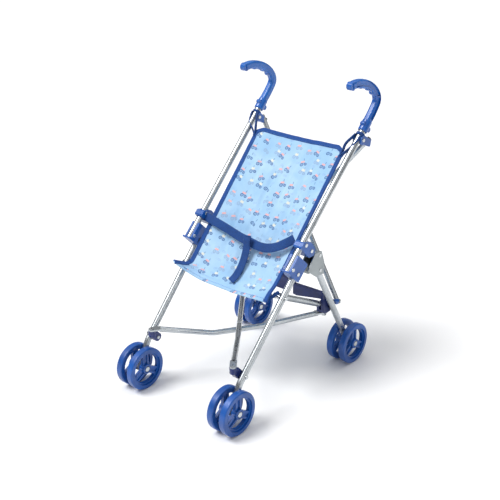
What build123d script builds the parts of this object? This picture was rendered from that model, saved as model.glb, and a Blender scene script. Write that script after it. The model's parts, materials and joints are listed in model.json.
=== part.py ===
from build123d import *
import math
import os

# A doll stroller with an umbrella fold: two tube side frames, a rear X and a base X, a fabric sling.

# ---- driving dimensions, millimetres ------------------------------------------------------------
WHEEL_R = 40.0
WHEEL_WIDTH = 13.5
WHEEL_GAP = 14.0          # between the two wheels of a pair
TUBE_R = 6.0              # side frame tubes and rear legs
CROSS_R = 4.75            # rear X tubes
BASE_R = 5.0              # base X tubes
STRUT_R = 5.9
TUBE_WALL = 1.0
AXLE_R = 2.5
RIVET_R = 2.0
TURNING = 0.05            # radial clearance of a turning rivet
FRAME_X = 118.0           # side frames stand this far from the middle plane
FRONT_TRACK_X = 113.5
REAR_TRACK_X = 119.7
HANDLE_TOP_X = 122.2
WHEELBASE = 327.6
FRONT_AXLE_Y = -177.155   # puts the middle of the whole stroller over the origin

# Side view points: (distance behind the front axle, height).
FRONT_AXLE = (0.0, WHEEL_R)
REAR_AXLE = (WHEELBASE, WHEEL_R)
HANDLE_FOOT = (145.7, 253.9)
HANDLE_TOP = (345.3, 457.5)
LEG_BEND = (21.2, 82.1)
LEG_TOP = (171.0, 246.9)
LEG_PIVOT = (160.0, 241.0)       # rear leg bracket on the lower clamp
STRUT_PIVOT = (131.3, 203.2)
CONNECTOR_PIVOT = (31.1, 93.0)
BASE_FRONT_PIN = (20.5, 110.9)
REAR_PIN = (274.0, 131.0)        # strut end, over the rear end of a base X tube
REAR_LEG_TOP = (217.4, 241.0)
TOP_RIVET = (337.0, 443.5)
CROSS_TOP = (361.0, 433.0)
CROSS_FOOT = (298.0, 136.0)
LOCK_BAR = (266.0, 154.5)        # the joint between the two halves of the rear lock bar
CONNECTOR_X = 100.0              # pins of the base X, the struts and their connectors
LOCK_PIN_X = 106.0
LEG_GAP = 2.90                   # play between the rear legs and the feet of the rear X
REAR_DROP = 15.0                 # the base X tubes pass this far below the strut ends
OPEN_GAP = 2.7                   # play at the rear ends of the base X
LAYER_GAP = 0.15
BAR_LOW, BAR_HIGH = 148.0, 161.0 # the lock bar at its pins
CROSS_OFFSET = CROSS_R + 0.35    # from the middle of the rear X to each of its tubes


# ---- small helpers ------------------------------------------------------------------------------
def at(x, side_point):
    """A point in the part's frame from a side view point."""
    return Vector(x, side_point[0] + FRONT_AXLE_Y, side_point[1])


def unit(start, end):
    """Side view direction from one side view point to another."""
    length = math.dist(start, end)
    return ((end[0] - start[0]) / length, (end[1] - start[1]) / length)


def step(point, direction, distance):
    return (point[0] + direction[0] * distance, point[1] + direction[1] * distance)


ALONG = unit(HANDLE_FOOT, HANDLE_TOP)            # up the handle tube
BEHIND = (ALONG[1], -ALONG[0])                   # square to it, to the rear
CROSS_DOWN = unit(CROSS_TOP, CROSS_FOOT)
CROSS_BACK = (-CROSS_DOWN[1], CROSS_DOWN[0])     # square to the rear X plane, to the rear
BASE_RUN = unit(BASE_FRONT_PIN, REAR_PIN)
BASE_UP = (-BASE_RUN[1], BASE_RUN[0])
LEG_DOWN = unit(REAR_LEG_TOP, REAR_AXLE)
LEG_BACK = (-LEG_DOWN[1], LEG_DOWN[0])


def on_handle(along, behind):
    return step(step(HANDLE_FOOT, ALONG, along), BEHIND, behind)


def handle_x(along):
    """The handle tube leans outwards towards its top."""
    return FRAME_X + (HANDLE_TOP_X - FRAME_X) * along / math.dist(HANDLE_FOOT, HANDLE_TOP)


def rod(start, end, radius):
    axis = end - start
    plane = Plane(start, z_dir=axis)
    return plane * Cylinder(radius, axis.length, align=(Align.CENTER, Align.CENTER, Align.MIN))


def tube(start, end, radius, wall=TUBE_WALL):
    return rod(start, end, radius) - rod(start, end, radius - wall)


def bent_tube(points, bend_radius, radius, wall=TUBE_WALL):
    path = FilletPolyline(*points, radius=bend_radius)
    section = Plane(path @ 0, z_dir=path % 0)
    return sweep(section * (Circle(radius) - Circle(radius - wall)), path=path)


def cross_pin(side_point, x0, x1, radius):
    """A cylinder along X between two sideways positions."""
    return rod(at(x0, side_point), at(x1, side_point), radius)


def plate(points, x0, x1, corner=0.0):
    """A flat plate lying in the side view, from x0 to x1, with its corners rounded."""
    outline = Polyline(*[(y + FRONT_AXLE_Y, z) for y, z in points], close=True)
    face = make_face(outline)
    if corner:
        face = fillet(face.vertices(), corner)
    return extrude(Plane.YZ.offset(x0) * face, amount=x1 - x0)


def handle_block(along0, along1, behind0, behind1, x0, x1, corner=2.0):
    """A block square to the handle tube."""
    corners = [(along0, behind0), (along1, behind0), (along1, behind1), (along0, behind1)]
    return plate([on_handle(*spot) for spot in corners], x0, x1, corner)


def rivet(side_point, x0, x1, radius=RIVET_R, head_r=3.6, head=1.5):
    """A rivet along X with a domed head on each end; x0 and x1 are the faces it clamps."""
    shank = cross_pin(side_point, x0, x1, radius)
    outer = cross_pin(side_point, x1, x1 + head, head_r)
    inner = cross_pin(side_point, x0 - head, x0, head_r)
    outer = fillet(outer.edges().sort_by(Axis.X)[-1], head * 0.6)
    inner = fillet(inner.edges().sort_by(Axis.X)[0], head * 0.6)
    return shank + outer + inner


PARTS = {}


def mirrored_pair(name, right_part):
    """Stores a right hand piece and its mirror image."""
    PARTS[name + "_right"] = right_part
    PARTS[name + "_left"] = mirror(right_part, about=Plane.YZ)


# ---- wheels -------------------------------------------------------------------------------------
def wheel(centre, outward):
    """One moulded wheel on the X axis through centre; outward is +1 or -1 for its open face."""
    rim_in, lip_in, hub_r = 31.5, 28.0, 9.5
    half = WHEEL_WIDTH / 2
    profile = make_face(Polyline(
        (-half, rim_in), (-half, WHEEL_R), (half, WHEEL_R), (half, rim_in),
        (half - 3.0, rim_in), (half - 3.0, lip_in), (-half + 3.0, lip_in), (-half + 3.0, rim_in),
        close=True))
    rim = revolve(profile, Axis.X)
    tread = [e for e in rim.edges().filter_by(GeomType.CIRCLE) if e.radius > WHEEL_R - 0.1]
    rim = fillet(tread, 2.6)
    hub = Rot(0, 90, 0) * Cylinder(hub_r, WHEEL_WIDTH)
    hub = fillet(hub.edges().filter_by(GeomType.CIRCLE), 1.0)
    body = rim + hub
    spoke_ribs, rib_gap, rib = 3, 10.0, 3.6
    for turn in range(spoke_ribs):
        for side in (-1, 1):
            spoke = Pos(0, side * rib_gap / 2, (hub_r + lip_in) / 2 - 0.5)
            body += Rot(turn * 120, 0, 0) * (spoke * Box(6.4, rib, lip_in - hub_r + 5.0))
        web = Pos(0, 0, (hub_r + lip_in) / 2) * Box(2.4, rib_gap, lip_in - hub_r + 2.0)
        body += Rot(turn * 120, 0, 0) * web
    dish = Pos(half, 0, 0) * (Rot(0, 90, 0) * Cylinder(6.6, 2.4))
    body -= dish
    body -= Rot(0, 90, 0) * Cylinder(AXLE_R + TURNING, 3 * WHEEL_WIDTH)
    if outward < 0:
        body = mirror(body, about=Plane.YZ)
    return Pos(*centre) * body


def wheels():
    offset = (WHEEL_GAP + WHEEL_WIDTH) / 2
    for end, axle, track in (("front", FRONT_AXLE, FRONT_TRACK_X), ("rear", REAR_AXLE, REAR_TRACK_X)):
        for place, sign in (("outer", 1), ("inner", -1)):
            one = wheel(at(track + sign * offset, axle), sign)
            mirrored_pair(f"{end}_{place}_wheel", one)
        reach = WHEEL_GAP / 2 + WHEEL_WIDTH - 1.15
        pin = rivet(axle, track - reach, track + reach, radius=AXLE_R, head_r=5.0, head=1.9)
        mirrored_pair(f"{end}_axle", pin)


# ---- side frame ---------------------------------------------------------------------------------
HANDLE_AXIS = (at(FRAME_X, HANDLE_FOOT), at(HANDLE_TOP_X, HANDLE_TOP))
LEAN = (HANDLE_AXIS[1] - HANDLE_AXIS[0]).normalized()
HANDLE_ENDS = (HANDLE_AXIS[0] - LEAN * 5.5, HANDLE_AXIS[1] + LEAN * 18)
LEG_AXIS = (at(FRAME_X, LEG_TOP), at(FRONT_TRACK_X + 0.5, LEG_BEND))
UPPER_RIVETS = (on_handle(49.5, 0.0), on_handle(49.5, 22.5))
LOWER_RIVET = on_handle(0.5, 0.0)
GRIP_SCREW = step(step(HANDLE_TOP, ALONG, 9), BEHIND, 9)
CLAMP_HALF = 9.0


def side_frame():
    handle = tube(*HANDLE_ENDS, TUBE_R)
    axle = at(FRONT_TRACK_X, FRONT_AXLE)
    leg_end = axle + (axle - LEG_AXIS[1]).normalized() * 7.5
    leg = bent_tube([*LEG_AXIS, leg_end], 45.0, TUBE_R)
    for spot in (UPPER_RIVETS[0], LOWER_RIVET, TOP_RIVET):
        handle -= cross_pin(spot, 100, 140, RIVET_R)
    for spot in (LEG_PIVOT, STRUT_PIVOT, CONNECTOR_PIVOT):
        leg -= cross_pin(spot, 90, 140, RIVET_R)
    leg -= cross_pin(FRONT_AXLE, 90, 140, AXLE_R)
    mirrored_pair("handle_tube", handle)
    mirrored_pair("front_leg", leg)

    # The lower clamp holds the foot of the handle tube and the head of the front leg.
    x0, x1 = FRAME_X - CLAMP_HALF, FRAME_X + CLAMP_HALF
    clamp = handle_block(-6.5, 27.0, -4.0, 31.5, x0, x1)
    clamp += handle_block(-9.5, -6.5, -9.5, 31.5, x0, x1, corner=0.9)
    clamp -= rod(*HANDLE_ENDS, TUBE_R)
    clamp -= rod(*LEG_AXIS, TUBE_R)
    for spot in (LOWER_RIVET, LEG_PIVOT):
        clamp -= cross_pin(spot, 100, 140, RIVET_R)
    mirrored_pair("lower_clamp", clamp)

    # The upper clamp wraps the handle tube and reaches back to the rear leg's bracket.
    middle = handle_x(49)
    outline = [on_handle(39, -9.5), on_handle(50, -9.5), on_handle(61, 9), on_handle(58, 30),
               on_handle(47, 35), on_handle(37, 25)]
    strap = plate(outline, middle - CLAMP_HALF, middle + CLAMP_HALF, corner=3.0)
    strap -= rod(*HANDLE_ENDS, TUBE_R)
    for spot in UPPER_RIVETS:
        strap -= cross_pin(spot, 100, 140, RIVET_R)
    mirrored_pair("upper_clamp", strap)

    # Rivets, pins and spacers that stay with the side frame.
    steel = rivet(LOWER_RIVET, x0, x1) + rivet(LEG_PIVOT, 106.7, x1)
    for spot in UPPER_RIVETS:
        steel += rivet(spot, middle - CLAMP_HALF, middle + CLAMP_HALF)
    pivot_x = handle_x(math.dist(HANDLE_FOOT, TOP_RIVET))
    steel += rivet(TOP_RIVET, pivot_x - 9.3, pivot_x + 9.3)
    steel += rivet(STRUT_PIVOT, CONNECTOR_X - 2.3, FRAME_X + 5.7)
    spacer = cross_pin(STRUT_PIVOT, CONNECTOR_X + 2.3, FRAME_X - 3, 4.2)
    steel += spacer - rod(*LEG_AXIS, TUBE_R)
    steel += rivet(CONNECTOR_PIVOT, 95.0, 120.6, head_r=3.4, head=2.2)
    mirrored_pair("frame_rivets", steel)


def grip():
    """The hooked handle: a swept bar, open on its outer side, on a round collar."""
    depth, width = 15.0, 13.5
    side_points = [step(HANDLE_TOP, ALONG, 4), step(HANDLE_TOP, ALONG, 28), (380.5, 495.0),
                   (386.8, 508.0), (381.5, 521.0), (367.5, 533.5), (346.0, 543.5), (323.0, 547.5),
                   (305.0, 546.0)]
    spine = Spline(*[at(0, spot) for spot in side_points])
    section = Plane(spine @ 0, x_dir=(1, 0, 0), z_dir=spine % 0)
    body = sweep(section * RectangleRounded(width, depth, 4.5), path=spine)
    tip = spine @ 1
    body += Pos(*tip) * (Rot(0, 90, 0) * Cylinder(depth / 2, width - 3.0))
    for spot in (0.52, 0.63, 0.74, 0.85):
        inward = (spine % spot).cross(Vector(1, 0, 0)).normalized()
        knuckle = (spine @ spot) - inward * (depth / 2 - 5.5)
        body += Pos(*knuckle) * (Rot(0, 90, 0) * Cylinder(7.2, width - 3.0))
    channel = spine.trim(0.13, 0.95)
    channel = Pos(width / 2, 0, 0) * channel
    slot = Plane(channel @ 0, x_dir=(1, 0, 0), z_dir=channel % 0)
    body -= sweep(slot * Rectangle(7.0, depth - 5.0), path=channel)
    rib = spine @ 0.42
    body += Pos(width / 2 - 3.0, rib.Y, rib.Z) * Box(3.0, depth - 1.5, 2.4)
    collar = rod(at(0, step(HANDLE_TOP, ALONG, -1)), at(0, step(HANDLE_TOP, ALONG, 21)), 9.0)
    body += fillet(collar.edges().filter_by(GeomType.CIRCLE), 1.5)
    body += cross_pin(GRIP_SCREW, -5.5, 5.5, 5.0)
    body += cross_pin(step(step(HANDLE_TOP, ALONG, 11), BEHIND, -8.5), -4.0, 4.0, 4.0)
    body = Pos(HANDLE_TOP_X + 0.15, 0, 0) * body
    body -= rod(HANDLE_AXIS[0], HANDLE_ENDS[1], TUBE_R)
    mirrored_pair("handle_grip", body)


# ---- rear legs ----------------------------------------------------------------------------------
REAR_LEG_AXIS = (at(FRAME_X, REAR_LEG_TOP), at(REAR_TRACK_X, REAR_AXLE))
BRACKET_LOW = step(REAR_LEG_TOP, LEG_DOWN, 17)
BRACKET_HIGH = (223.6, 256.0)


def rear_legs():
    head, foot = REAR_LEG_AXIS
    end = foot + (foot - head).normalized() * 7.5
    leg = tube(head, end, TUBE_R)
    leg -= cross_pin(BRACKET_LOW, 90, 140, RIVET_R)
    leg -= cross_pin(REAR_AXLE, 90, 140, AXLE_R)
    mirrored_pair("rear_leg", leg)

    # A steel channel rides on the head of the leg; its inner arm reaches the pivot on the clamp.
    inner0, inner1, outer0, outer1 = 106.9, 108.9, 124.4, 126.4
    arm = [step(LEG_PIVOT, BEHIND, -5), step(LEG_PIVOT, ALONG, -6.5), (188.0, 232.0), (213.0, 218.0),
           (235.0, 217.0), (236.5, 240.0), (228.0, 263.5), (208.5, 263.5), (196.0, 247.0)]
    wing = [(189.0, 236.0), (213.0, 218.0), (235.0, 217.0), (236.5, 240.0), (228.0, 263.5),
            (208.5, 263.5)]
    channel = plate(arm, inner0, inner1, corner=1.5) + plate(wing, outer0, outer1, corner=1.5)
    back = [(233.6, 226.0), (235.6, 226.0), (236.4, 240.0), (229.6, 258.5), (227.7, 257.8),
            (234.3, 239.8)]
    channel += plate(back, inner0 + 0.5, outer1 - 0.5)
    for spot in (BRACKET_LOW, BRACKET_HIGH):
        channel -= cross_pin(spot, 90, 140, RIVET_R)
    channel -= cross_pin(LEG_PIVOT, 100, 112, RIVET_R + TURNING)
    mirrored_pair("leg_bracket", channel)
    rivets = rivet(BRACKET_LOW, inner0, outer1, head=0.75)
    rivets += rivet(BRACKET_HIGH, inner0, outer1, head=0.75)
    spacer = cross_pin(BRACKET_HIGH, inner1, outer0, 4.2)
    spacer += cross_pin(BRACKET_LOW, inner1, outer0, 4.2) - rod(head, end, TUBE_R)
    mirrored_pair("bracket_rivets", rivets + spacer)


# ---- rear X -------------------------------------------------------------------------------------
def rear_cross():
    for name, side, layer in (("left", -1, -1), ("right", 1, 1)):
        top = at(side * FRAME_X, step(CROSS_TOP, CROSS_BACK, layer * CROSS_OFFSET))
        foot = at(-side * FRAME_X, step(CROSS_FOOT, CROSS_BACK, layer * CROSS_OFFSET))
        back = (at(0, step(CROSS_TOP, CROSS_BACK, 1)) - at(0, CROSS_TOP)).normalized()
        run = (foot - top).normalized()
        middle = (top + foot) * 0.5
        shaft = (top - run * 9, foot + run * 5)
        body = tube(*shaft, CROSS_R)
        body -= rod(top - back * 20, top + back * 20, RIVET_R + TURNING)
        for spot in (middle, foot):
            body -= rod(spot - back * 20, spot + back * 20, RIVET_R)
        PARTS[f"rear_cross_tube_{name}"] = body
        flat = CROSS_R - 0.25
        rivets = rod(middle - back * layer * flat, middle + back * layer * flat, RIVET_R)
        rivets += rod(middle + back * layer * flat, middle + back * layer * (flat + 1.8), 3.8)
        rivets += rod(foot - back * (CROSS_R + 3), foot + back * flat, RIVET_R)
        rivets += rod(foot + back * flat, foot + back * (flat + 1.8), 3.8)
        rivets -= (rod(*shaft, CROSS_R)
                   - rod(middle - back * 9, middle + back * 9, RIVET_R)
                   - rod(foot - back * 9, foot + back * 9, RIVET_R))
        PARTS[f"rear_cross_rivets_{name}"] = rivets

        # A plastic pad between this tube's foot and the other side's rear leg, just clear of the leg.
        pad = rod(foot - back * 40, foot, 5.2) - rod(*shaft, CROSS_R)
        pad -= rod(foot - back * (CROSS_R + 3), foot, RIVET_R)
        near = step(REAR_LEG_TOP, LEG_BACK, TUBE_R + LEG_GAP)
        reach = step(near, LEG_BACK, -80)
        pad -= plate([near, step(near, LEG_DOWN, 200), step(reach, LEG_DOWN, 200), reach], -140, 140)
        PARTS[f"cross_pad_{'right' if side < 0 else 'left'}"] = pad

        # Top pivot: two cheeks on the handle tube and a lug behind it that carries the tube's pin.
        face = step(CROSS_TOP, CROSS_BACK, layer * CROSS_OFFSET - CROSS_R - 0.25)
        tube_x = handle_x(math.dist(HANDLE_FOOT, TOP_RIVET))
        outline = [step(face, CROSS_DOWN, -6.5), step(face, CROSS_DOWN, 7.5),
                   step(TOP_RIVET, (0.35, -0.94), 9.5), step(TOP_RIVET, (-0.8, -0.6), 9.0),
                   step(TOP_RIVET, (-0.75, 0.66), 9.0), step(TOP_RIVET, (0.3, 0.95), 9.0)]
        lug = plate(outline, tube_x - 9.1, tube_x + 9.1, corner=3.0)
        along = math.dist(HANDLE_FOOT, TOP_RIVET)
        lug -= handle_block(along - 30, along + 30, -25, 8.9, tube_x - 6.6, tube_x + 6.6)
        lug -= cross_pin(TOP_RIVET, 100, 140, RIVET_R + TURNING)
        if side < 0:
            lug = mirror(lug, about=Plane.YZ)
        lug -= rod(top - back * 14, top + back * 20, RIVET_R)
        PARTS[f"top_pivot_{name}"] = lug
        pin = rod(top - back * 14, top + back * (CROSS_R + 0.3), RIVET_R)
        pin += rod(top + back * (CROSS_R + 0.1), top + back * (CROSS_R + 1.9), 3.6)
        PARTS[f"cross_pin_{name}"] = pin


# ---- base X, front connectors, struts and rear connectors ---------------------------------------
def upright(side_point):
    """Direction square to the base X, upwards."""
    return (at(0, step(side_point, BASE_UP, 1)) - at(0, side_point)).normalized()


def base_cross():
    up = upright(BASE_FRONT_PIN)
    for name, side, dip in (("left", -1, 26.0), ("right", 1, 15.5)):
        front = at(side * CONNECTOR_X, BASE_FRONT_PIN)
        rear = at(-side * CONNECTOR_X, REAR_PIN) - up * REAR_DROP
        length = (at(-side * CONNECTOR_X, REAR_PIN) - front).length
        run = (at(-side * CONNECTOR_X, REAR_PIN) - front).normalized()
        low = front + run * 112 - up * dip
        high = front + run * (length - 118) - up * dip
        body = bent_tube([front + run * 15 - up * 1.2, low, high, rear - run * 12 - up * 1.2],
                         60.0, BASE_R)
        for spot, inward, eye in ((front, run, 6.0), (rear, -run, 6.8)):
            frame = Plane(spot, x_dir=inward, z_dir=up)
            body += frame * (Pos(8.5, 0, 0) * Box(17.0, 2 * eye, 3.2))
            body += frame * Cylinder(eye, 3.2)
        middle = front + run * (length / 2) - up * dip
        body -= rod(front - up * 9, front + up * 9, RIVET_R + TURNING)
        body -= rod(rear - up * 9, rear + up * 9, RIVET_R + OPEN_GAP)
        body -= rod(middle - up * 9, middle + up * 9, RIVET_R)
        PARTS[f"base_cross_tube_{name}"] = body
        if side > 0:
            head = rod(middle + up * (BASE_R - 0.2), middle + up * (BASE_R + 1.6), 3.8)
            head -= rod(middle - run * 20, middle + run * 20, BASE_R)
            PARTS["base_cross_rivet"] = head + rod(middle - up * BASE_R, middle + up * BASE_R, RIVET_R)


def front_connectors():
    pin = at(CONNECTOR_X, BASE_FRONT_PIN)
    up = upright(BASE_FRONT_PIN)
    body = rod(pin - up * 13, pin - up * 1.8, 6.6)
    body += cross_pin(CONNECTOR_PIVOT, 95.2, 107.7, 8.0)
    body += plate([step(CONNECTOR_PIVOT, (0.7, 0.7), 7.8), step(CONNECTOR_PIVOT, (-0.6, -0.8), 7.8),
                   step(BASE_FRONT_PIN, (-0.45, -1.0), 11.0), step(BASE_FRONT_PIN, (1.0, -0.35), 7.0)],
                  95.2, 106.2, corner=1.5)
    body -= rod(pin - up * 1.8, pin + up * 12, 14.0)
    body -= cross_pin(CONNECTOR_PIVOT, 80, 140, RIVET_R + TURNING)
    body -= rod(pin - up * 9, pin + up * 20, RIVET_R)
    mirrored_pair("front_connector", body)
    eyelet = rod(pin - up * 9, pin + up * 3.2, RIVET_R) + rod(pin + up * 1.8, pin + up * 3.2, 4.2)
    eyelet -= rod(pin - up * 20, pin + up * 20, 1.1)
    mirrored_pair("front_connector_eyelet", eyelet)


def struts():
    front, rear = at(CONNECTOR_X, STRUT_PIVOT), at(CONNECTOR_X, REAR_PIN)
    run = (rear - front).normalized()
    body = tube(front + run * 13, rear - run * 19, STRUT_R)
    for spot, inward, reach in ((front, run, 17), (rear, -run, 23)):
        frame = Plane(spot, x_dir=inward, z_dir=(1, 0, 0))
        body += frame * (Pos(reach / 2, 0, 0) * Box(reach, 8.6, 4.0))
        body += frame * Cylinder(5.2, 4.0)
    for spot in (front, rear):
        body -= rod(spot - Vector(9, 0, 0), spot + Vector(9, 0, 0), RIVET_R + TURNING)
    mirrored_pair("side_strut", body)


def rear_connectors():
    """Forked blocks: a strut's end in the fork, a base X tube below, half the lock bar on top."""
    pin = at(CONNECTOR_X, REAR_PIN)
    up = upright(REAR_PIN)
    front, back, cheek0, cheek1 = 263.0, 282.4, 92.5, 111.3
    floor0, floor1, top = REAR_PIN[1] - 11.6, REAR_PIN[1] - 6.4, REAR_PIN[1] + 7.0
    body = plate([(front, floor0), (back - 3, floor0), (back, floor0 + 4), (back, top - 4),
                  (back - 5, top), (front, top)], cheek0, cheek1, corner=1.2)
    body -= plate([(front - 5, floor1), (back - 2.6, floor1), (back - 2.6, top + 5),
                   (front - 5, top + 5)], CONNECTOR_X - 2.5, CONNECTOR_X + 2.5)
    seat_z, half = BAR_LOW - LAYER_GAP, 4.0
    body += plate([(LOCK_BAR[0] - half, top - 1), (LOCK_BAR[0] + half + 3, top - 1),
                   (LOCK_BAR[0] + half, seat_z), (LOCK_BAR[0] - half, seat_z)], CONNECTOR_X + 2.5, cheek1)
    foot, cap = (LOCK_BAR[0], top - 4), (LOCK_BAR[0], BAR_HIGH + LAYER_GAP)
    foot, cap = at(LOCK_PIN_X, foot), at(LOCK_PIN_X, cap)
    body -= rod(foot, cap, RIVET_R)
    body -= cross_pin(REAR_PIN, 80, 140, RIVET_R)
    body -= rod(pin - up * 14, pin - up * 7, RIVET_R)
    pins = rod(foot, cap + Vector(0, 0, 1.4), RIVET_R) + rod(cap, cap + Vector(0, 0, 1.4), 3.4)
    pins += cross_pin(REAR_PIN, cheek0, cheek1 - 2, RIVET_R)
    pins += cross_pin(REAR_PIN, cheek0 - 1.2, cheek0, 3.4)
    pins += rod(pin - up * (REAR_DROP + 6.6), pin - up * 7, RIVET_R)
    nut_face = Plane(pin - up * (REAR_DROP + 6.6), z_dir=up)
    pins += nut_face * extrude(RegularPolygon(4.6, 6), amount=3.0)
    mirrored_pair("rear_connector", body)
    mirrored_pair("rear_connector_pins", pins)


def lock_bar():
    """Two halves of the rear lock bar, each pivoted on its rear connector, lapped at the middle."""
    y, past, own, inner = LOCK_BAR[0] + FRONT_AXLE_Y, 20.0, 31.0, 36.0
    for name, low, high in (("right", LOCK_BAR[1] + LAYER_GAP, 167.0), ("left", 141.5, LOCK_BAR[1] - LAYER_GAP)):
        outline = make_face(Polyline(
            (inner, 138.5), (inner + 8, 137.0), (92, BAR_LOW - 1.5), (LOCK_PIN_X - 5, BAR_LOW),
            (LOCK_PIN_X, BAR_LOW), (LOCK_PIN_X, BAR_HIGH), (inner, BAR_HIGH - 2), close=True))
        wing = extrude(Plane.XZ.offset(-y - 4.2) * outline, amount=8.4)
        eye = Pos(LOCK_PIN_X, y, (BAR_LOW + BAR_HIGH) / 2) * Cylinder(4.2, BAR_HIGH - BAR_LOW)
        block = Pos((own - past) / 2, y, (low + high) / 2) * Box(own + past, 12.0, high - low)
        block = fillet(block.edges().filter_by(Axis.Z), 3.0)
        neck = Pos(inner - 3, y, (low + high) / 2) * Box(8, 8.4, high - low - 3)
        body = wing + eye + block + neck
        body -= Pos(LOCK_PIN_X, y, BAR_LOW) * Cylinder(RIVET_R + TURNING, 40)
        PARTS[f"lock_bar_{name}"] = body if name == "right" else mirror(body, about=Plane.YZ)


# ---- fabric -------------------------------------------------------------------------------------
SEAT_TOP, SEAT_FOLD, SEAT_FRONT = (318.0, 428.0), (131.0, 218.0), (86.0, 224.0)
SLING = 3.0


def seat():
    half = 103.0
    back = unit(SEAT_FOLD, SEAT_TOP)
    square = (back[1], -back[0])
    lower = step(SEAT_FOLD, square, SLING)
    outline = [SEAT_TOP, SEAT_FOLD, SEAT_FRONT, step(SEAT_FRONT, (0, -1), SLING),
               (lower[0] - 0.5, lower[1] - 1.5), step(SEAT_TOP, square, SLING)]
    PARTS["seat_sling"] = plate(outline, -half, half)
    PARTS["lap_belt"] = plate([(146.0, 264.0), (148.0, 264.0), (148.0, 280.0), (146.0, 280.0)], -108, 108)
    PARTS["crotch_strap"] = plate([(120.0, 222.5), (122.0, 222.5), (144.0, 262.0), (144.0, 265.0)],
                                  -8, 8)


def main():
    os.makedirs("parts", exist_ok=True)
    wheels()
    side_frame()
    grip()
    rear_legs()
    rear_cross()
    base_cross()
    front_connectors()
    struts()
    rear_connectors()
    lock_bar()
    seat()
    for name, shape in PARTS.items():
        export_step(shape, f"parts/{name}.step")
    whole = Compound(children=[Part(s.wrapped) if not isinstance(s, Part) else s for s in PARTS.values()])
    box = whole.bounding_box()
    print(len(PARTS), "nodes; box", box.min, box.max)


main()
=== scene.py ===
import json
import math

import bpy
from mathutils import Matrix, Vector, noise


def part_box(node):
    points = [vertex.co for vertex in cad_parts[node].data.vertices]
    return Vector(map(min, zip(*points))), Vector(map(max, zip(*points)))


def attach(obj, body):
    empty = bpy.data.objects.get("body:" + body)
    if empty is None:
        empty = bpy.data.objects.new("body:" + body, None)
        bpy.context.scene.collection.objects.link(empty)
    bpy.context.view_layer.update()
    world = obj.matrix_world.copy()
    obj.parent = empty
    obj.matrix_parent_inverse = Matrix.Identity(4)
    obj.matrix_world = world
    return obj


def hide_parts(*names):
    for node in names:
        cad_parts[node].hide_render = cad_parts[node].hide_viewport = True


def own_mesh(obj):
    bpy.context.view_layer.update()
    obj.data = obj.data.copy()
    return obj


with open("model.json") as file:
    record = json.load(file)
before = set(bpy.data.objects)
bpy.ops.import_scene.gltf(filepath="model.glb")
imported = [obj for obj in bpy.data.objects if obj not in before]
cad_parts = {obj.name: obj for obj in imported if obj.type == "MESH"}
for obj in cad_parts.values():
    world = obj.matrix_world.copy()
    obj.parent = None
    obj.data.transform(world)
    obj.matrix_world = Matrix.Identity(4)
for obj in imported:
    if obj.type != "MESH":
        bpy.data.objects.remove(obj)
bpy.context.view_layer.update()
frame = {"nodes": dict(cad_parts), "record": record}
WHEEL_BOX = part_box("front_outer_wheel_right")
FRONT_AXLE_Y = (WHEEL_BOX[0][1] + WHEEL_BOX[1][1]) / 2
MM = 0.001


def at(x, y, z):
    """A point given as millimetres from the middle plane, behind the front axle, and above the floor."""
    return Vector((x * MM, y * MM + FRONT_AXLE_Y, z * MM))


# ---- materials ----------------------------------------------------------------------------------
def srgb(code):
    channels = [int(code[i:i + 2], 16) / 255 for i in (1, 3, 5)]
    return [c / 12.92 if c <= 0.04045 else ((c + 0.055) / 1.055) ** 2.4 for c in channels] + [1.0]


class Nodes:
    """Shorthand for building one material's node tree."""

    def __init__(self, name, rough, metal=0.0):
        self.mat = bpy.data.materials.new(name)
        self.mat.use_nodes = True
        self.tree = self.mat.node_tree
        self.bsdf = self.tree.nodes["Principled BSDF"]
        self.bsdf.inputs["Roughness"].default_value = rough
        self.bsdf.inputs["Metallic"].default_value = metal

    def new(self, kind, **settings):
        node = self.tree.nodes.new(kind)
        for key, value in settings.items():
            setattr(node, key, value)
        return node

    def link(self, source, target):
        self.tree.links.new(source, target)

    def math(self, operation, a, b=None, clamp=False):
        node = self.new("ShaderNodeMath", operation=operation, use_clamp=clamp)
        for socket, value in zip(node.inputs, (a, b)):
            if isinstance(value, (int, float)):
                socket.default_value = value
            elif value is not None:
                self.link(value, socket)
        return node.outputs[0]

    def mix(self, factor, a, b):
        node = self.new("ShaderNodeMix", data_type="RGBA")
        for socket, value in ((node.inputs[0], factor), (node.inputs[6], a), (node.inputs[7], b)):
            if isinstance(value, (int, float, list)):
                socket.default_value = value
            else:
                self.link(value, socket)
        return node.outputs[2]

    def coords(self, kind="Object"):
        return self.new("ShaderNodeTexCoord").outputs[kind]

    def noise(self, vector, scale, detail=3.0, roughness=0.5):
        node = self.new("ShaderNodeTexNoise")
        node.inputs["Scale"].default_value = scale
        node.inputs["Detail"].default_value = detail
        node.inputs["Roughness"].default_value = roughness
        self.link(vector, node.inputs["Vector"])
        return node.outputs["Fac"]

    def ramp(self, factor, low, high, a, b):
        node = self.new("ShaderNodeMapRange", clamp=True)
        node.inputs["From Min"].default_value = low
        node.inputs["From Max"].default_value = high
        node.inputs["To Min"].default_value = a
        node.inputs["To Max"].default_value = b
        self.link(factor, node.inputs["Value"])
        return node.outputs[0]

    def scaled(self, vector, scale):
        node = self.new("ShaderNodeMapping")
        node.inputs["Scale"].default_value = scale
        self.link(vector, node.inputs["Vector"])
        return node.outputs[0]

    def bump(self, height, strength, distance):
        node = self.new("ShaderNodeBump")
        node.inputs["Strength"].default_value = strength
        node.inputs["Distance"].default_value = distance
        self.link(height, node.inputs["Height"])
        self.link(node.outputs[0], self.bsdf.inputs["Normal"])

    def colour(self, socket):
        self.link(socket, self.bsdf.inputs["Base Color"])

    def rough(self, socket):
        self.link(socket, self.bsdf.inputs["Roughness"])


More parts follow.
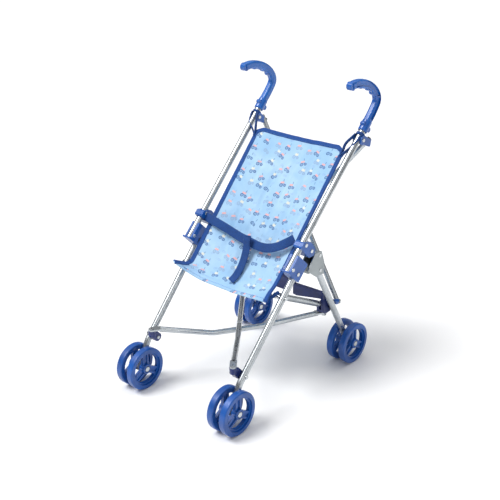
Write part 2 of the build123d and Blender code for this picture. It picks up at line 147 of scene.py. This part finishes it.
def plastic(name, light, dark, rough, grain=900.0):
    """Moulded plastic: a soft mottle, a fine sparked grain and faint scuffs."""
    n = Nodes(name, rough)
    where = n.coords()
    mottle = n.noise(where, 22.0, 4.0)
    n.colour(n.mix(n.ramp(mottle, 0.35, 0.68, 0.0, 1.0), srgb(dark), srgb(light)))
    scuff = n.noise(n.scaled(where, (60.0, 60.0, 340.0)), 3.0, 6.0, 0.7)
    n.rough(n.ramp(scuff, 0.3, 0.75, rough - 0.06, rough + 0.14))
    n.bump(n.noise(where, grain, 2.0), 0.12, 0.0002)
    n.bsdf.inputs["Specular IOR Level"].default_value = 0.5
    n.bsdf.inputs["Coat Weight"].default_value = 0.25
    n.bsdf.inputs["Coat Roughness"].default_value = 0.2
    return n.mat


def metal(name, light, dark, rough, brushed=(900.0, 60.0, 60.0)):
    """Drawn tube or pressed steel: fine lines, with a cloudy variation in its polish."""
    n = Nodes(name, rough, 1.0)
    where = n.coords()
    lines = n.noise(n.scaled(where, brushed), 1.0, 4.0, 0.6)
    cloud = n.noise(where, 18.0, 4.0)
    n.colour(n.mix(n.ramp(cloud, 0.3, 0.7, 0.0, 1.0), srgb(dark), srgb(light)))
    n.rough(n.ramp(lines, 0.25, 0.8, rough - 0.08, rough + 0.14))
    n.bump(lines, 0.08, 0.0002)
    return n.mat


def webbing(name, light, dark, pitch):
    """Woven tape: ribs across it and yarns along it, from the strap's own UV in metres."""
    n = Nodes(name, 0.78)
    uv = n.new("ShaderNodeSeparateXYZ")
    n.link(n.coords("UV"), uv.inputs[0])
    across = n.math("SINE", n.math("MULTIPLY", uv.outputs[0], 2 * math.pi / pitch))
    along = n.math("SINE", n.math("MULTIPLY", uv.outputs[1], 2 * math.pi / (pitch * 0.8)))
    weave = n.math("MULTIPLY", across, along)
    fibre = n.noise(n.coords(), 420.0, 3.0, 0.6)
    cloud = n.noise(n.coords(), 35.0, 3.0)
    worn = n.math("ADD", fibre, n.math("MULTIPLY", cloud, 0.5))
    shade = n.math("ADD", n.math("MULTIPLY", weave, 0.22), worn)
    n.colour(n.mix(n.ramp(shade, 0.35, 1.1, 0.0, 1.0), srgb(dark), srgb(light)))
    n.bump(n.math("ADD", weave, fibre), 0.35, 0.0003)
    n.bsdf.inputs["Sheen Weight"].default_value = 0.12
    n.bsdf.inputs["Sheen Roughness"].default_value = 0.4
    return n.mat


def print_layer(n, uv, cell, shift, seed):
    """Vector in millimetres from a scattered motif's own middle, and a random number for it."""
    place = n.new("ShaderNodeMapping")
    place.inputs["Scale"].default_value = (1 / cell, 1 / cell, 1.0)
    place.inputs["Location"].default_value = (shift, shift * 0.7, seed)
    n.link(uv, place.inputs["Vector"])
    cells = n.new("ShaderNodeTexVoronoi", voronoi_dimensions="2D", feature="F1")
    cells.inputs["Scale"].default_value = 1.0
    cells.inputs["Randomness"].default_value = 0.55
    n.link(place.outputs[0], cells.inputs["Vector"])
    offset = n.new("ShaderNodeVectorMath", operation="SUBTRACT")
    n.link(place.outputs[0], offset.inputs[0])
    n.link(cells.outputs["Position"], offset.inputs[1])
    parts = n.new("ShaderNodeSeparateXYZ")
    n.link(offset.outputs[0], parts.inputs[0])
    tint = n.new("ShaderNodeSeparateColor")
    n.link(cells.outputs["Color"], tint.inputs[0])
    x = n.math("MULTIPLY", parts.outputs[0], cell / MM)
    y = n.math("MULTIPLY", parts.outputs[1], cell / MM)
    turn_by = n.math("MULTIPLY", n.math("SUBTRACT", tint.outputs[2], 0.5), 0.9)
    cos, sin = n.math("COSINE", turn_by), n.math("SINE", turn_by)
    x, y = (n.math("SUBTRACT", n.math("MULTIPLY", x, cos), n.math("MULTIPLY", y, sin)),
            n.math("ADD", n.math("MULTIPLY", x, sin), n.math("MULTIPLY", y, cos)))
    return x, y, tint.outputs[0], tint.outputs[1]


def ring(n, x, y, cx, cy, radius, width):
    dx, dy = n.math("SUBTRACT", x, cx), n.math("SUBTRACT", y, cy)
    far = n.math("SQRT", n.math("ADD", n.math("MULTIPLY", dx, dx), n.math("MULTIPLY", dy, dy)))
    edge = n.math("ABSOLUTE", n.math("SUBTRACT", far, radius))
    return n.ramp(edge, width * 0.5, width * 0.5 + 0.35, 1.0, 0.0)


def bar(n, x, y, cx, cy, half_x, half_y):
    dx = n.math("SUBTRACT", n.math("ABSOLUTE", n.math("SUBTRACT", x, cx)), half_x)
    dy = n.math("SUBTRACT", n.math("ABSOLUTE", n.math("SUBTRACT", y, cy)), half_y)
    return n.ramp(n.math("MAXIMUM", dx, dy), 0.0, 0.4, 1.0, 0.0)


def printed_cloth():
    """Pale blue plain weave with a scattered print of rings, dots and little bars."""
    n = Nodes("printed_cloth", 0.82)
    uv = n.coords("UV")
    cloud = n.noise(n.coords(), 14.0, 4.0, 0.6)
    base = n.mix(n.ramp(cloud, 0.3, 0.7, 0.0, 1.0), srgb("#8CB8DE"), srgb("#AFD0EC"))
    x, y, pick, other = print_layer(n, uv, 0.0235, 3.0, 0.0)
    pale = n.math("GREATER_THAN", pick, 0.62)
    ink = n.mix(pale, srgb("#2B5592"), srgb("#8CA6C8"))
    rings = n.math("MAXIMUM", ring(n, x, y, -3.6, -2.2, 2.7, 1.3), ring(n, x, y, 3.8, -2.6, 2.1, 1.2))
    dots = n.math("MAXIMUM", ring(n, x, y, -3.6, -2.2, 0.0, 1.6), ring(n, x, y, 3.8, -2.6, 0.0, 1.2))
    mast = n.math("MAXIMUM", bar(n, x, y, 1.6, 7.2, 0.5, 2.2), bar(n, x, y, -0.2, 0.2, 3.2, 0.4))
    marks = n.math("MAXIMUM", n.math("MAXIMUM", rings, dots), n.math("MULTIPLY", mast, 0.7))
    coral = n.math("MULTIPLY", bar(n, x, y, -1.2, 2.9, 3.6, 1.5), n.math("LESS_THAN", other, 0.55))
    cream = n.math("MULTIPLY", bar(n, x, y, 0.4, 3.2, 3.0, 2.2), n.math("GREATER_THAN", other, 0.7))
    colour = n.mix(n.math("MULTIPLY", cream, 0.75), base, srgb("#E9E3C9"))
    colour = n.mix(n.math("MULTIPLY", coral, 0.8), colour, srgb("#F0A79C"))
    colour = n.mix(n.math("MULTIPLY", marks, 0.85), colour, ink)
    x2, y2, pick2, _ = print_layer(n, uv, 0.0170, 11.3, 5.0)
    faint = n.math("MAXIMUM", ring(n, x2, y2, -1.8, 0.0, 1.8, 0.7), ring(n, x2, y2, 2.2, 0.4, 1.5, 0.7))
    small = n.math("MULTIPLY", faint, n.math("GREATER_THAN", pick2, 0.55))
    colour = n.mix(n.math("MULTIPLY", small, 0.35), colour, srgb("#7C97C2"))
    parts = n.new("ShaderNodeSeparateXYZ")
    n.link(uv, parts.inputs[0])
    weft = n.math("SINE", n.math("MULTIPLY", parts.outputs[0], 2 * math.pi / 0.0007))
    warp = n.math("SINE", n.math("MULTIPLY", parts.outputs[1], 2 * math.pi / 0.0007))
    weave = n.math("MULTIPLY", weft, warp)
    n.colour(colour)
    soft = n.noise(n.coords(), 90.0, 3.0)
    n.bump(n.math("ADD", n.math("MULTIPLY", weave, 0.25), n.math("MULTIPLY", soft, 1.4)), 0.4, 0.0006)
    n.bsdf.inputs["Sheen Weight"].default_value = 0.15
    n.bsdf.inputs["Sheen Roughness"].default_value = 0.5
    return n.mat


MATERIALS = {
    "tube": metal("tube", "#C6CBCE", "#A8AEB2", 0.27, (60.0, 60.0, 900.0)),
    "bracket": metal("bracket", "#A7ADB0", "#8C9396", 0.36),
    "rivet": metal("rivet", "#D6DADC", "#B4B9BC", 0.22, (500.0, 500.0, 500.0)),
    "wheel": plastic("wheel", "#0A57AE", "#064590", 0.34),
    "grip": plastic("grip", "#1566BC", "#0D50A2", 0.27),
    "clamp": plastic("clamp", "#0A5CB4", "#064894", 0.3),
    "connector": plastic("connector", "#1B2F70", "#13235C", 0.34),
    "sling": printed_cloth(),
    "binding": webbing("binding", "#084C9E", "#053570", 0.0016),
    "webbing": webbing("webbing", "#06468E", "#042E66", 0.0018),
    "thread": webbing("thread", "#3F7CCB", "#2C60A8", 0.0009),
}

for sub in frame["record"]["subparts"]:
    name, slot = sub["node"], sub["material_slot"]
    if slot in ("sling", "webbing"):
        continue
    for holder in frame["nodes"][name].material_slots:
        holder.material = MATERIALS[slot]


# ---- mesh helpers -------------------------------------------------------------------------------
def build(name, verts, faces, uvs, material, smooth=True):
    mesh = bpy.data.meshes.new(name)
    mesh.from_pydata([tuple(v) for v in verts], [], faces)
    layer = mesh.uv_layers.new(name="UVMap")
    for poly in mesh.polygons:
        poly.use_smooth = smooth
        for loop in poly.loop_indices:
            layer.data[loop].uv = uvs[mesh.loops[loop].vertex_index]
    mesh.materials.append(MATERIALS[material])
    piece = bpy.data.objects.new(name, mesh)
    bpy.context.scene.collection.objects.link(piece)
    return piece


def smooth_path(points, per=8):
    """Catmull-Rom curve through the points."""
    pts = [2 * points[0] - points[1], *points, 2 * points[-1] - points[-2]]
    out = []
    for i in range(1, len(pts) - 2):
        a, b, c, d = pts[i - 1:i + 3]
        for k in range(per):
            t = k / per
            out.append(0.5 * (2 * b + (c - a) * t + (2 * a - 5 * b + 4 * c - d) * t * t
                              + (3 * b - a - 3 * c + d) * t ** 3))
    return out + [points[-1].copy()]


def tape(name, path, across, width, thick, material, closed=False):
    """A flat strap along path; across is its width direction at each point (or one for all)."""
    profile = [(-0.5, -0.30), (-0.47, -0.5), (-0.25, -0.52), (0, -0.5), (0.25, -0.52), (0.47, -0.5),
               (0.5, -0.30), (0.5, 0.30), (0.47, 0.5), (0.25, 0.52), (0, 0.5), (-0.25, 0.52),
               (-0.47, 0.5), (-0.5, 0.30)]
    verts, uvs, faces, run = [], [], [], 0.0
    count, ring_size = len(path), len(profile)
    for i, point in enumerate(path):
        before = path[i - 1] if i or closed else path[i]
        after = path[(i + 1) % count] if i + 1 < count or closed else path[i]
        tangent = (after - before).normalized()
        side = across[i] if isinstance(across, list) else across
        side = (side - tangent * side.dot(tangent)).normalized()
        up = tangent.cross(side)
        run += (point - path[i - 1]).length if i else 0.0
        for a, b in profile:
            verts.append(point + side * (a * width) + up * (b * thick))
            uvs.append((a * width, run))
    for i in range(count if closed else count - 1):
        j = (i + 1) % count
        for k in range(ring_size):
            m = (k + 1) % ring_size
            faces.append((i * ring_size + k, i * ring_size + m, j * ring_size + m, j * ring_size + k))
    if not closed:
        faces.append(tuple(reversed(range(ring_size))))
        faces.append(tuple(range((count - 1) * ring_size, count * ring_size)))
    return build(name, verts, faces, uvs, material)


def stitches(name, path, normals, spacing, material="thread"):
    """A row of short threads lying on a surface along path."""
    verts, uvs, faces = [], [], []
    length, lift, half_w = 0.0021, 0.00022, 0.00034
    run, target = 0.0, spacing
    for i in range(1, len(path)):
        step_v = path[i] - path[i - 1]
        dist = step_v.length
        while run + dist >= target:
            t = (target - run) / dist
            spot, along = path[i - 1] + step_v * t, step_v.normalized()
            up = (normals[i] - along * normals[i].dot(along)).normalized()
            side = along.cross(up)
            base = len(verts)
            for da, dh in ((-0.5, 0.0), (-0.25, 1.0), (0.25, 1.0), (0.5, 0.0)):
                for ds in (-1, 1):
                    verts.append(spot + along * (da * length) + side * (ds * half_w) + up * (dh * lift))
                    uvs.append((ds * half_w, da * length))
            for k in range(3):
                a = base + 2 * k
                faces.append((a, a + 1, a + 3, a + 2))
            faces.append((base, base + 2, base + 4, base + 6))
            faces.append((base + 7, base + 5, base + 3, base + 1))
            faces.append((base + 6, base + 7, base + 1, base))
            target += spacing
        run += dist
    return build(name, verts, faces, uvs, material)


# ---- the sling ----------------------------------------------------------------------------------
HALF = 104.5
# Rows from the top edge to the front edge: (left side y, z), (middle y, z), (right side y, z).
ROWS = [
    ((322, 428), (322.5, 427), (322, 428)),
    ((287, 390), (289, 383), (287, 390)),
    ((248, 347.5), (253.5, 339), (248, 347.5)),
    ((209, 305), (217, 295.5), (209, 305)),
    ((172, 264.5), (182, 253.5), (172, 264.5)),
    ((147, 237), (157, 226), (147, 237)),
    ((131, 220.5), (140, 206.5), (131, 221)),
    ((122, 214), (129, 199), (123, 215)),
    ((110, 215.5), (119, 196), (116, 209)),
    ((80, 228.5), (107, 193.5), (107, 198.5)),
]
V_STEPS, U_STEPS = 96, 64


def row_curve(index):
    pts = [Vector((0.0, row[index][0], row[index][1])) for row in ROWS]
    return smooth_path(pts, V_STEPS // (len(ROWS) - 1) + 1)


LEFT, MIDDLE, RIGHT = (row_curve(i) for i in range(3))


def sling_point(u, row):
    """u runs from -1 at the left edge to 1 at the right edge."""
    side = LEFT[row] if u < 0 else RIGHT[row]
    share = abs(u) ** 2.1
    if u < 0:
        share = share * 0.35 + abs(u) ** 7 * 0.65 if row > len(LEFT) * 0.86 else share
    spot = MIDDLE[row].lerp(side, share)
    down = row / (len(MIDDLE) - 1)
    corner = 16.0
    drop = (MIDDLE[row] - MIDDLE[0]).length
    inset = corner - math.sqrt(max(0.0, corner ** 2 - (corner - drop) ** 2)) if drop < corner else 0.0
    half = HALF - inset - 4.5 * min(1.0, down * 1.25)
    x = u * half
    fade = max(0.0, 1.0 - abs(u) ** 4)
    folds = 0.0
    for place, depth, spread, start, stop in (
            (-0.52, 2.8, 0.045, 0.0, 0.66), (-0.17, 3.4, 0.04, 0.05, 0.78), (0.16, 2.4, 0.045, 0.0, 0.5),
            (0.47, 3.0, 0.045, 0.0, 0.6), (0.74, 2.0, 0.045, 0.1, 0.7)):
        along = min(1.0, max(0.0, (down - start) / 0.12)) * min(1.0, max(0.0, (stop - down) / 0.2))
        folds -= depth * along * math.exp(-((u - place + 0.05 * math.sin(down * 7)) / spread) ** 2)
    rough = noise.noise(Vector((x * 0.03, drop * 0.018, 4.0))) * 2.2
    rough += noise.noise(Vector((x * 0.08, drop * 0.05, 9.0))) * 0.8
    lift = (folds + rough) * fade
    a, b = MIDDLE[max(0, row - 1)], MIDDLE[min(len(MIDDLE) - 1, row + 1)]
    run = (b - a).normalized()
    normal = Vector((0.0, run.z, -run.y))
    spot = spot + normal * lift
    return at(x, spot.y, spot.z), drop


def sling():
    rows, cols, thick = len(MIDDLE), U_STEPS + 1, 0.0008
    grid = [[sling_point(2 * c / U_STEPS - 1, r)[0] for c in range(cols)] for r in range(rows)]
    normals = []
    for r in range(rows):
        line = []
        for c in range(cols):
            du = grid[r][min(cols - 1, c + 1)] - grid[r][max(0, c - 1)]
            dv = grid[min(rows - 1, r + 1)][c] - grid[max(0, r - 1)][c]
            line.append(du.cross(dv).normalized() * -1.0)
        normals.append(line)
    verts, uvs, faces = [], [], []
    run_v = [0.0]
    for r in range(1, rows):
        run_v.append(run_v[-1] + (grid[r][cols // 2] - grid[r - 1][cols // 2]).length)
    for side in (0.5, -0.5):
        for r in range(rows):
            for c in range(cols):
                verts.append(grid[r][c] + normals[r][c] * (side * thick))
                uvs.append((grid[r][c].x, -run_v[r]))
    off = rows * cols
    for r in range(rows - 1):
        for c in range(cols - 1):
            a = r * cols + c
            faces.append((a, a + cols, a + cols + 1, a + 1))
            faces.append((off + a, off + a + 1, off + a + cols + 1, off + a + cols))
    rim = [r * cols for r in range(rows)] + [(rows - 1) * cols + c for c in range(1, cols)]
    rim += [r * cols + cols - 1 for r in range(rows - 2, -1, -1)] + [c for c in range(cols - 2, 0, -1)]
    for k, a in enumerate(rim):
        b = rim[(k + 1) % len(rim)]
        faces.append((a, off + a, off + b, b))
    piece = build("seat_sling_cloth", verts, faces, uvs, "sling")
    return piece, grid, normals, run_v[-1]


cloth, GRID, NORMALS, LENGTH = sling()
ROW_COUNT, COL_COUNT = len(GRID), len(GRID[0])


def edge_tape(name, cells, inward, width=0.0085, thick=0.0026):
    """Binding folded over the sling's edge; cells are (row, column) along it, inward a neighbour's step."""
    path, across, up = [], [], []
    for (r, c), (dr, dc) in zip(cells, inward):
        spot = GRID[r][c]
        inner = (GRID[r + dr][c + dc] - spot).normalized()
        path.append(spot + inner * (width * 0.5 - 0.0009))
        across.append(inner)
        up.append(NORMALS[r][c])
    return tape(name, path, across, width, thick, "binding"), path, across, up


last = ROW_COUNT - 1
sides = [(r, 0) for r in range(last, 0, -1)]
around = sides + [(0, c) for c in range(0, COL_COUNT)] + [(r, COL_COUNT - 1) for r in range(1, last + 1)]
turn = []
for r, c in around:
    down_in = 3 if r < 6 else 0
    side_in = 3 if c == 0 else (-3 if c == COL_COUNT - 1 else 0)
    turn.append((down_in if 0 < c < COL_COUNT - 1 or r < 4 else 0, side_in))
binding, edge_path, edge_in, edge_up = edge_tape("sling_binding", around, turn)
seam = [p + i * 0.0030 + n * 0.00135 for p, i, n in zip(edge_path, edge_in, edge_up)]
seam_threads = stitches("binding_stitches", seam, edge_up, 0.0034)

hem_cells = [(last, c) for c in range(0, COL_COUNT)]
hem_path = [GRID[r][c] + (GRID[r - 3][c] - GRID[r][c]).normalized() * 0.0030 for r, c in hem_cells]
hem_in = [(GRID[r - 3][c] - GRID[r][c]).normalized() for r, c in hem_cells]
hem = tape("front_hem", hem_path, hem_in, 0.0075, 0.0020, "sling")
hem_seam = [p + i * 0.0026 + NORMALS[r][c] * 0.0011 for p, i, (r, c) in zip(hem_path, hem_in, hem_cells)]
hem_threads = stitches("hem_stitches", hem_seam, [NORMALS[r][c] for r, c in hem_cells], 0.0034)

# ---- belts --------------------------------------------------------------------------------------
ALONG = Vector((0.0, 0.700, 0.714))
BEHIND = Vector((0.0, 0.714, -0.700))
HANDLE_FOOT = at(118, 145.7, 253.9)


def on_tube(side, along, radius, angle):
    """A point round the handle tube; angle 0 is its inner side, 90 its front."""
    centre = HANDLE_FOOT + ALONG * (along * MM)
    lean = 118.0 + 4.2 * along / 285.1
    centre.x = side * lean * MM
    turn_a = math.radians(angle)
    inner = Vector((-side, 0.0, 0.0))
    return centre + inner * (math.cos(turn_a) * radius * MM) - BEHIND * (math.sin(turn_a) * radius * MM)


belt_pts = [at(-111, 178.2, 284), at(-84, 176.5, 280.5), at(-52, 175.5, 274.5), at(-20, 174.5, 267.5),
            at(5, 173.5, 264.5), at(30, 170.5, 263.5), at(52, 169, 267), at(72, 171, 275),
            at(90, 178, 286), at(99.5, 183.0, 293.6)]
belt_path = smooth_path(belt_pts, 10)
belt_across = [Vector((0.0, 0.42 + 0.1 * math.sin(i * 0.21), 0.9)) for i in range(len(belt_path))]
belt = tape("lap_belt_webbing", belt_path, belt_across, 0.0165, 0.0016, "webbing")

crotch_pts = [at(4, 168.0, 279), at(5, 165.5, 270), at(6, 162.5, 257), at(7, 155.5, 241), at(7, 146.5, 226),
              at(4, 136.5, 211.5), at(0, 126.0, 202.0)]
crotch_path = smooth_path(crotch_pts, 8)
crotch = tape("crotch_strap_webbing", crotch_path, Vector((1.0, 0.12, 0.1)), 0.0150, 0.0016, "webbing")
loop_front = [at(5, 166.0, 276), at(5, 164.0, 271), at(5, 164.0, 262), at(5, 166.5, 254)]
loop_piece = tape("crotch_strap_loop", smooth_path(loop_front, 6), Vector((1.0, 0.0, 0.0)), 0.0158, 0.0016,
                  "webbing")


def tube_loop(name, side, along, width, thick, radius=7.0):
    """A turn of webbing round the handle tube."""
    path = [on_tube(side, along, radius, a) for a in range(0, 360, 12)]
    return tape(name, path, ALONG.copy(), width, thick, "webbing", closed=True)


belt_loops = [tube_loop("belt_loop_left", -1, 45.0, 0.0150, 0.0015, 7.6)]
corner_loops = []
corner_straps = []
for label, side in (("left", -1), ("right", 1)):
    loop = tube_loop(f"corner_loop_{label}", side, 277.0, 0.0052, 0.0018, 7.3)
    corner_loops.append(loop)
    start = GRID[4][1 if side < 0 else COL_COUNT - 2]
    for strand, angle in (("outer", 150), ("inner", 35)):
        top = on_tube(side, 274.5, 7.6, angle)
        middle = start.lerp(top, 0.5) + Vector((0.0, 0.0, 0.002))
        middle += (top - on_tube(side, 274.5, 0.0, 0)) * 0.8 + Vector((side * 0.003, 0.0, 0.0))
        path = smooth_path([start, start.lerp(middle, 0.5), middle, top], 6)
        corner_straps.append(tape(f"corner_strap_{label}_{strand}", path, ALONG.cross(Vector((side, 0, 0))),
                                  0.0062, 0.0019, "webbing"))
front_corners = (("left", -1, GRID[int(last * 0.82)][1]), ("right", 1, GRID[last - 1][COL_COUNT - 3]))
for label, side, begin in front_corners:
    end = at(side * 106.5, 133.5, 211.0)
    path = smooth_path([begin, begin.lerp(end, 0.5) + Vector((0, 0, -0.0015)), end], 8)
    corner_straps.append(tape(f"front_corner_strap_{label}", path, Vector((0.0, 0.35, 0.9)), 0.0062, 0.0017,
                              "webbing"))

# ---- what each piece rides on -------------------------------------------------------------------
soft_pieces = [cloth, binding, seam_threads, hem, hem_threads, belt, crotch, loop_piece, *corner_straps]
for piece in soft_pieces:
    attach(piece, "seat")
    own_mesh(piece)
for piece in corner_loops + belt_loops:
    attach(piece, "side_frame_left" if piece.name.endswith("left") else "side_frame_right")
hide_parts("seat_sling")
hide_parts("lap_belt")
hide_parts("crotch_strap")

# ---- floor, lights and camera -------------------------------------------------------------------
floor_mesh = bpy.data.meshes.new("floor")
floor_mesh.from_pydata([(-40, -40, 0), (40, -40, 0), (40, 40, 0), (-40, 40, 0)], [], [(0, 1, 2, 3)])
floor = bpy.data.objects.new("floor", floor_mesh)
bpy.context.scene.collection.objects.link(floor)
floor_look = Nodes("floor", 0.9)
floor_look.bsdf.inputs["Base Color"].default_value = (0.93, 0.93, 0.93, 1.0)
floor_mesh.materials.append(floor_look.mat)

world = bpy.data.worlds.new("studio")
bpy.context.scene.world = world
world.use_nodes = True
sky = world.node_tree
direction = sky.nodes.new("ShaderNodeTexCoord")
height = sky.nodes.new("ShaderNodeSeparateXYZ")
tones = sky.nodes.new("ShaderNodeValToRGB")
tones.color_ramp.elements[0].position = 0.02
tones.color_ramp.elements[0].color = (0.86, 0.87, 0.88, 1.0)
tones.color_ramp.elements[1].position = 0.9
tones.color_ramp.elements[1].color = (1.0, 1.0, 1.0, 1.0)
for place, shade in ((0.16, 0.22), (0.42, 0.30), (0.62, 0.85)):
    tones.color_ramp.elements.new(place).color = (shade, shade, shade * 1.03, 1.0)
sky.links.new(direction.outputs["Generated"], height.inputs[0])
sky.links.new(height.outputs[2], tones.inputs[0])
sky.links.new(tones.outputs[0], sky.nodes["Background"].inputs["Color"])
sky.nodes["Background"].inputs["Strength"].default_value = 0.66


def area_light(name, spot, target, size, power):
    data = bpy.data.lights.new(name, "AREA")
    data.size = size
    data.energy = power
    lamp = bpy.data.objects.new(name, data)
    lamp.location = spot
    lamp.rotation_euler = (Vector(target) - Vector(spot)).to_track_quat("-Z", "Y").to_euler()
    bpy.context.scene.collection.objects.link(lamp)


area_light("fill", (1.9, -0.9, 1.1), (0, 0, 0.25), 1.2, 6)
area_light("top", (0.0, 0.6, 2.2), (0, 0, 0.2), 1.8, 8)
sun_data = bpy.data.lights.new("key", "SUN")
sun_data.energy = 2.5
sun_data.angle = math.radians(28)
sun = bpy.data.objects.new("key", sun_data)
sun.rotation_euler = Vector((0.75, 0.95, -1.85)).to_track_quat("-Z", "Y").to_euler()
bpy.context.scene.collection.objects.link(sun)

view = bpy.data.cameras.new("camera")
view.sensor_width = 36.0
view.lens = 65.85408
view.shift_x = -0.0112
view.shift_y = -0.06606
camera = bpy.data.objects.new("camera", view)
back = Vector((0.60943, -0.70547, 0.36182)).normalized()
heading = math.radians(40.82)
right = Vector((math.cos(heading), math.sin(heading), 0.0))
up = back.cross(right)
camera.matrix_world = Matrix.Translation(at(1011.53, -976.25, 906.15)) @ Matrix(
    (right, up, back)).transposed().to_4x4()
bpy.context.scene.collection.objects.link(camera)
bpy.context.scene.camera = camera
bpy.context.scene.view_settings.view_transform = "Standard"
